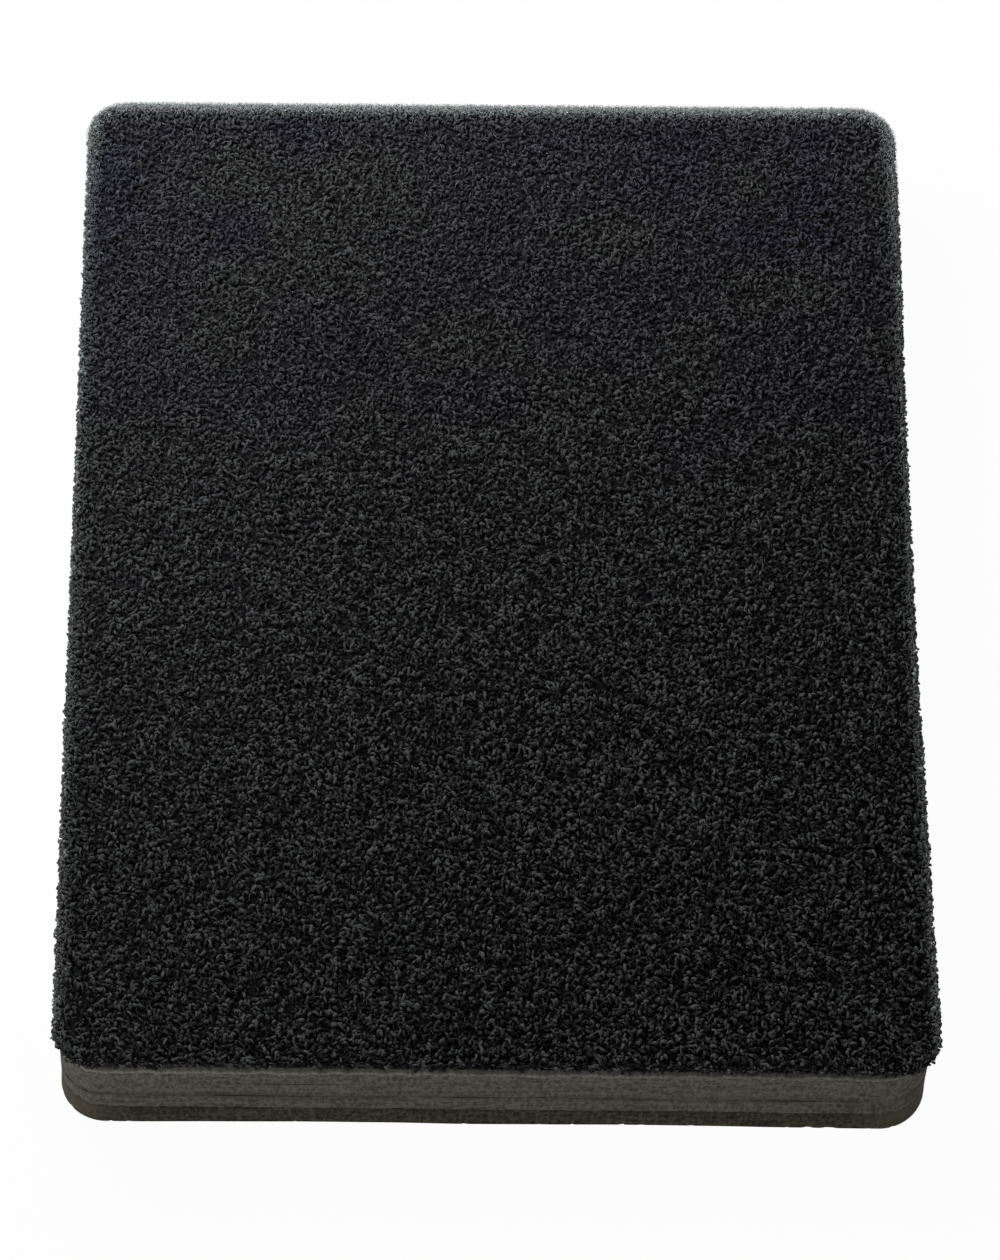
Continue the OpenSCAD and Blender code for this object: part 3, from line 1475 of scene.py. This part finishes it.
    def fuzz(self, places: np.ndarray, rng: np.random.Generator) -> StrandBatch:
        """Shapes one fine standing fibre at each place.

        Args:
            places: the fibres' roots on the flat carpet.
            rng: the random numbers to draw from.

        Returns:
            The fibres.
        """
        fibre, one_each = self.fibre, (len(places), 1)
        run = np.linspace(0, 1, fibre.rings)[None]
        heading = rng.uniform(0, 2 * pi, one_each)
        headings = heading + rng.normal(0, fibre.curl, one_each) * run
        spread = rng.uniform(*fibre.reach, one_each) * run
        far = self.farness(places)[:, None] ** 8
        height = fibre.far_lift * far - fibre.root
        height = height + rng.uniform(*fibre.rise, one_each) * np.sin(run * 2.0)
        flat = np.stack([np.cos(headings) * spread, np.sin(headings) * spread], axis=2)
        flat = places[:, None] + flat
        share = rng.uniform(*fibre.radius_share, one_each)
        radii = fibre.radius * (1 - fibre.taper * run) * share
        centres = np.concatenate([flat, height[..., None]], axis=2)
        right = 1 - self.leftness(places)[:, None]
        # Painted rim light: fuzz paler towards the far end, and more so on the right.
        tones = 0.6 * rng.beta(2, 3, one_each) + (0.5 + 0.25 * right) * far
        tones = np.repeat(np.clip(tones, 0, 0.95), fibre.rings, axis=1)
        return StrandBatch(centres, headings, radii, tones, 0.3 * rng.random(len(places)))

    def bed(self) -> bpy.types.Object:
        """Builds the dense bed of loop roots that closes the gaps between the loops.

        Returns:
            The piece, in place of the CAD pile.
        """
        face, step = self.face, self.bed_step
        skin = face.outline.shrunk(self.bed_depth)
        counts = skin.counts(step)
        rim = face.rim - self.bed_rim_loss
        low = face.top - 2 * face.rim
        turn = np.radians(np.linspace(-60, 90, 8))
        inner = np.arange(rim + step, skin.width / 2 - 0.4 * MM, step)
        insets = np.concatenate([[12 * MM, 0.4 * MM], rim * (1 - np.cos(turn)), inner])
        rise = np.concatenate([[0, 0], 1 + np.sin(turn), np.full(len(inner), 2)])
        rows = []
        for number, (inset, height) in enumerate(zip(insets, low + rim * rise * self.bed_squash)):
            places, _, _ = skin.shrunk(inset).walk(counts)
            lumps = soft_noise(*(places.T / self.bed_lump), Seed.BED_LUMPS)
            lift = self.bed_lift * lumps if number > 1 else 0 * lumps
            rows.append(np.concatenate([places, (height + lift)[:, None]], axis=1))
        points = face.die.settle(np.concatenate(rows))
        columns = sum(counts) * 2 + 2 * counts[2]
        band, caps = strip_quads(columns, len(rows)), end_caps(columns, len(rows))
        piece = make_piece("pile_bed", points, band, caps)
        rng = np.random.default_rng(Seed.BED_TONE)
        # Painted light: the roots lift towards the far end and the left, and take the painted rim
        # light above their lowest rows.
        tone = rng.uniform(0, 0.2, len(points)) + 0.6 * self.painted_light_share(points)
        rim_light = self.rim_light(points[:, :2]) * (points[:, 2] > low + 0.1 * MM)
        mark(piece, "tone", np.clip(tone, 0, FULL_DYE) * (1 - rim_light) + rim_light)
        tint = rng.uniform(0, 1, len(points)) * (1 - (1 - self.rim_light_tint) * rim_light)
        mark(piece, "tint", tint)
        return install(piece, "pile", self.roots.material())

    def build(self) -> None:
        """Builds the bed, the loops in patches and the rim's fuzz."""
        self.bed()
        finish = self.loops.material()
        places = self.scatter(self.pitch, Seed.LOOP_PLACES)
        outline = self.face.outline
        shares = places / [outline.width, outline.length] + 0.5
        sizes = np.array([self.patch_columns, self.patch_rows])
        patch = np.clip((shares * sizes).astype(int), 0, sizes - 1)
        for column in range(self.patch_columns):
            for row in range(self.patch_rows):
                here = places[(patch == [column, row]).all(axis=1)]
                rng = np.random.default_rng([Seed.LOOPS, column, row])
                name = f"pile_loops_{column + 1}_{row + 1}"
                self.curls(here, rng).build(name, self.face, finish)
        self.build_fuzz()

    def build_fuzz(self) -> None:
        """Builds the pale fuzz round the rim and the stray fibres on the face."""
        finish = self.pale.material()
        places = self.scatter(self.fuzz_pitch, Seed.FUZZ_PLACES)
        past = self.face.past_edge(places)
        ramp = -self.rim_light_run * np.random.default_rng(Seed.FUZZ_RAMP).random(len(past))
        dense = self.near_fuzz + (1 - self.near_fuzz) * self.farness(places) ** 8
        dense = dense * (self.under_fuzz + (1 - self.under_fuzz) * self.upper(places))
        kept = np.random.default_rng(Seed.FUZZ_KEPT).random(len(past)) < dense
        bare = places[:, 1] <= self.near_bare - self.face.outline.length / 2
        places = places[(past > ramp) & ~bare & kept]
        rng = np.random.default_rng(Seed.FUZZ)
        around = np.argsort(np.arctan2(places[:, 1], places[:, 0]))
        for number, here in enumerate(np.array_split(around, len(around) // self.fuzz_piece + 1)):
            name = f"pile_rim_fuzz_{number + 1}"
            self.fuzz(places[here], rng).build(name, self.face, finish)
        strays = self.scatter(self.stray_pitch, Seed.STRAY_PLACES)
        strays = strays[self.face.past_edge(strays) < 0]
        self.fuzz(strays, rng).build("pile_stray_fibres", self.face, finish)


@dataclass(frozen=True)
class WipingFabric:
    """The fabric on the block: its ground cloth and its pile."""

    die: DieCut
    cloth_corner: float = 4.0 * MM
    pile_corner: float = 3.8 * MM
    pile_spill: float = 0.28 * MM
    pile_draw: float = 0.2 * MM
    knit: YarnFinish = YarnFinish(
        "ground_yarn", (84, 81, 76), (128, 125, 119), (150, 147, 140), cool=(255, 252, 245)
    )

    def build(self) -> None:
        """Builds the cloth and the pile where the frame has them."""
        low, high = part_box("ground_cloth")
        outline = Outline(high.x - low.x, high.y - low.y, self.cloth_corner)
        cloth = GroundCloth(outline, low.z, high.z, self.die).build(self.knit.material())
        low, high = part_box("pile")
        edge = Outline(high.x - low.x, high.y - low.y, self.pile_corner)
        die = replace(self.die, corner_spill=self.pile_spill, near_draw=self.pile_draw)
        LoopPile(PileFace(edge, (high.z - low.z) / 2, high.z, die)).build()


# ---------------------------------------------------------------- studio


@dataclass(frozen=True)
class Lamp:
    """A soft square lamp that looks at the eraser."""

    name: str
    place: tuple[float, float, float]
    size: float
    watts: float

    def build(self) -> None:
        """Adds the lamp to the scene."""
        data = bpy.data.lights.new(self.name, "AREA")
        data.size = self.size
        data.energy = self.watts
        lamp = bpy.data.objects.new(self.name, data)
        lamp.location = self.place
        lamp.rotation_euler = (-Vector(self.place)).to_track_quat("-Z", "Y").to_euler()
        bpy.context.scene.collection.objects.link(lamp)


@dataclass(frozen=True)
class Studio:
    """The camera, the lamps, the pale floor and the white surroundings."""

    aim: tuple[float, float, float] = (0.879 * MM, -0.326 * MM, 0.0)
    distance: float = 504.02 * MM
    elevation: float = 59.507
    azimuth: float = -2.8915
    roll: float = 3.0641
    lens: float = 156.787
    ambient: float = 0.14
    floor_half: float = 3.0
    floor_drop: float = 0.02 * MM
    floor_grey: float = 0.9
    floor_white: float = 0.965
    key: Lamp = Lamp("key", (-0.10, 0.14, 0.17), 0.2, 0.52)
    front_fill: Lamp = Lamp("front_fill", (-0.3, -0.6, 0.35), 0.5, 1.35)

    def camera(self) -> None:
        """Sets the camera high in front of the near end, a little turned and tilted."""
        lift, turn, tilt = (radians(a) for a in (self.elevation, self.azimuth, self.roll))
        ahead = Vector((-sin(turn) * cos(lift), cos(turn) * cos(lift), -sin(lift)))
        level = Vector((cos(turn), sin(turn), 0.0))
        over = level.cross(ahead)
        right = level * cos(tilt) + over * sin(tilt)
        above = over * cos(tilt) - level * sin(tilt)
        data = bpy.data.cameras.new("camera")
        data.lens = self.lens
        data.clip_start = 0.01
        eye = bpy.data.objects.new("camera", data)
        axes = Matrix((right, above, -ahead)).transposed().to_4x4()
        stand = Vector(self.aim) - ahead * self.distance
        eye.matrix_world = Matrix.Translation(stand) @ axes
        bpy.context.scene.collection.objects.link(eye)
        bpy.context.scene.camera = eye

    def surroundings(self) -> None:
        """Lights the scene evenly, and shows white wherever the surroundings are seen."""
        world = bpy.data.worlds.new("surroundings")
        world.use_nodes = True
        world.node_tree.nodes.clear()
        graph = Graph(world.node_tree)
        rays = graph.add("LightPath").outputs
        seen = graph.maths("MAXIMUM", rays["Is Camera Ray"], rays["Is Glossy Ray"])
        seen = graph.maths("MAXIMUM", seen, rays["Is Transmission Ray"])
        fill = graph.add("Background")
        graph.feed(fill, Color=(1, 1, 1, 1), Strength=self.ambient)
        white = graph.add("Background")
        graph.feed(white, Color=(1, 1, 1, 1), Strength=1.0)
        choice = graph.add("MixShader")
        for socket, value in zip(choice.inputs, (seen, fill.outputs[0], white.outputs[0])):
            graph.put(socket, value)
        graph.feed(graph.add("OutputWorld"), Surface=choice.outputs[0])
        bpy.context.scene.world = world

    def floor(self) -> None:
        """Lays the pale floor, which shows nearly white and keeps a soft shadow."""
        corners = np.array([(-1, -1), (1, -1), (1, 1), (-1, 1)]) * self.floor_half
        spots = np.concatenate([corners, np.full((4, 1), -self.floor_drop)], axis=1)
        floor = make_piece("floor", spots, np.array([[0, 1, 2, 3]]))
        material, graph, shader = new_material("pale_floor")
        graph.feed(shader, Base_Color=(*[self.floor_grey] * 3, 1), Roughness=0.9)
        shader.inputs["Specular IOR Level"].default_value = 0.0
        glow = graph.add("Emission")
        graph.feed(glow, Color=(1, 1, 1, 1), Strength=1.0)
        rays = graph.add("LightPath").outputs
        seen = graph.maths("MAXIMUM", rays["Is Camera Ray"], rays["Is Glossy Ray"])
        seen = graph.maths("MULTIPLY", seen, self.floor_white)
        blend = graph.add("MixShader")
        for socket, value in zip(blend.inputs, (seen, shader.outputs[0], glow.outputs[0])):
            graph.put(socket, value)
        ends = [n for n in graph.tree.nodes if n.type == "OUTPUT_MATERIAL"]
        graph.feed(ends[0], Surface=blend.outputs[0])
        floor.data.materials.append(material)

    def build(self) -> None:
        """Sets up the whole studio."""
        self.camera()
        self.surroundings()
        self.floor()
        self.key.build()
        self.front_fill.build()
        bpy.context.scene.view_settings.view_transform = "Standard"


def main() -> None:
    """Builds the studio, the block and the fabric."""
    logging.basicConfig(level=logging.INFO, format="%(name)s: %(message)s")
    Studio().build()
    low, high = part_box("pile")
    die = DieCut((high.x - low.x) / 2, (high.y - low.y) / 2)
    FoamBlock(die).build()
    WipingFabric(die).build()


if __name__ == "__main__":
    main()
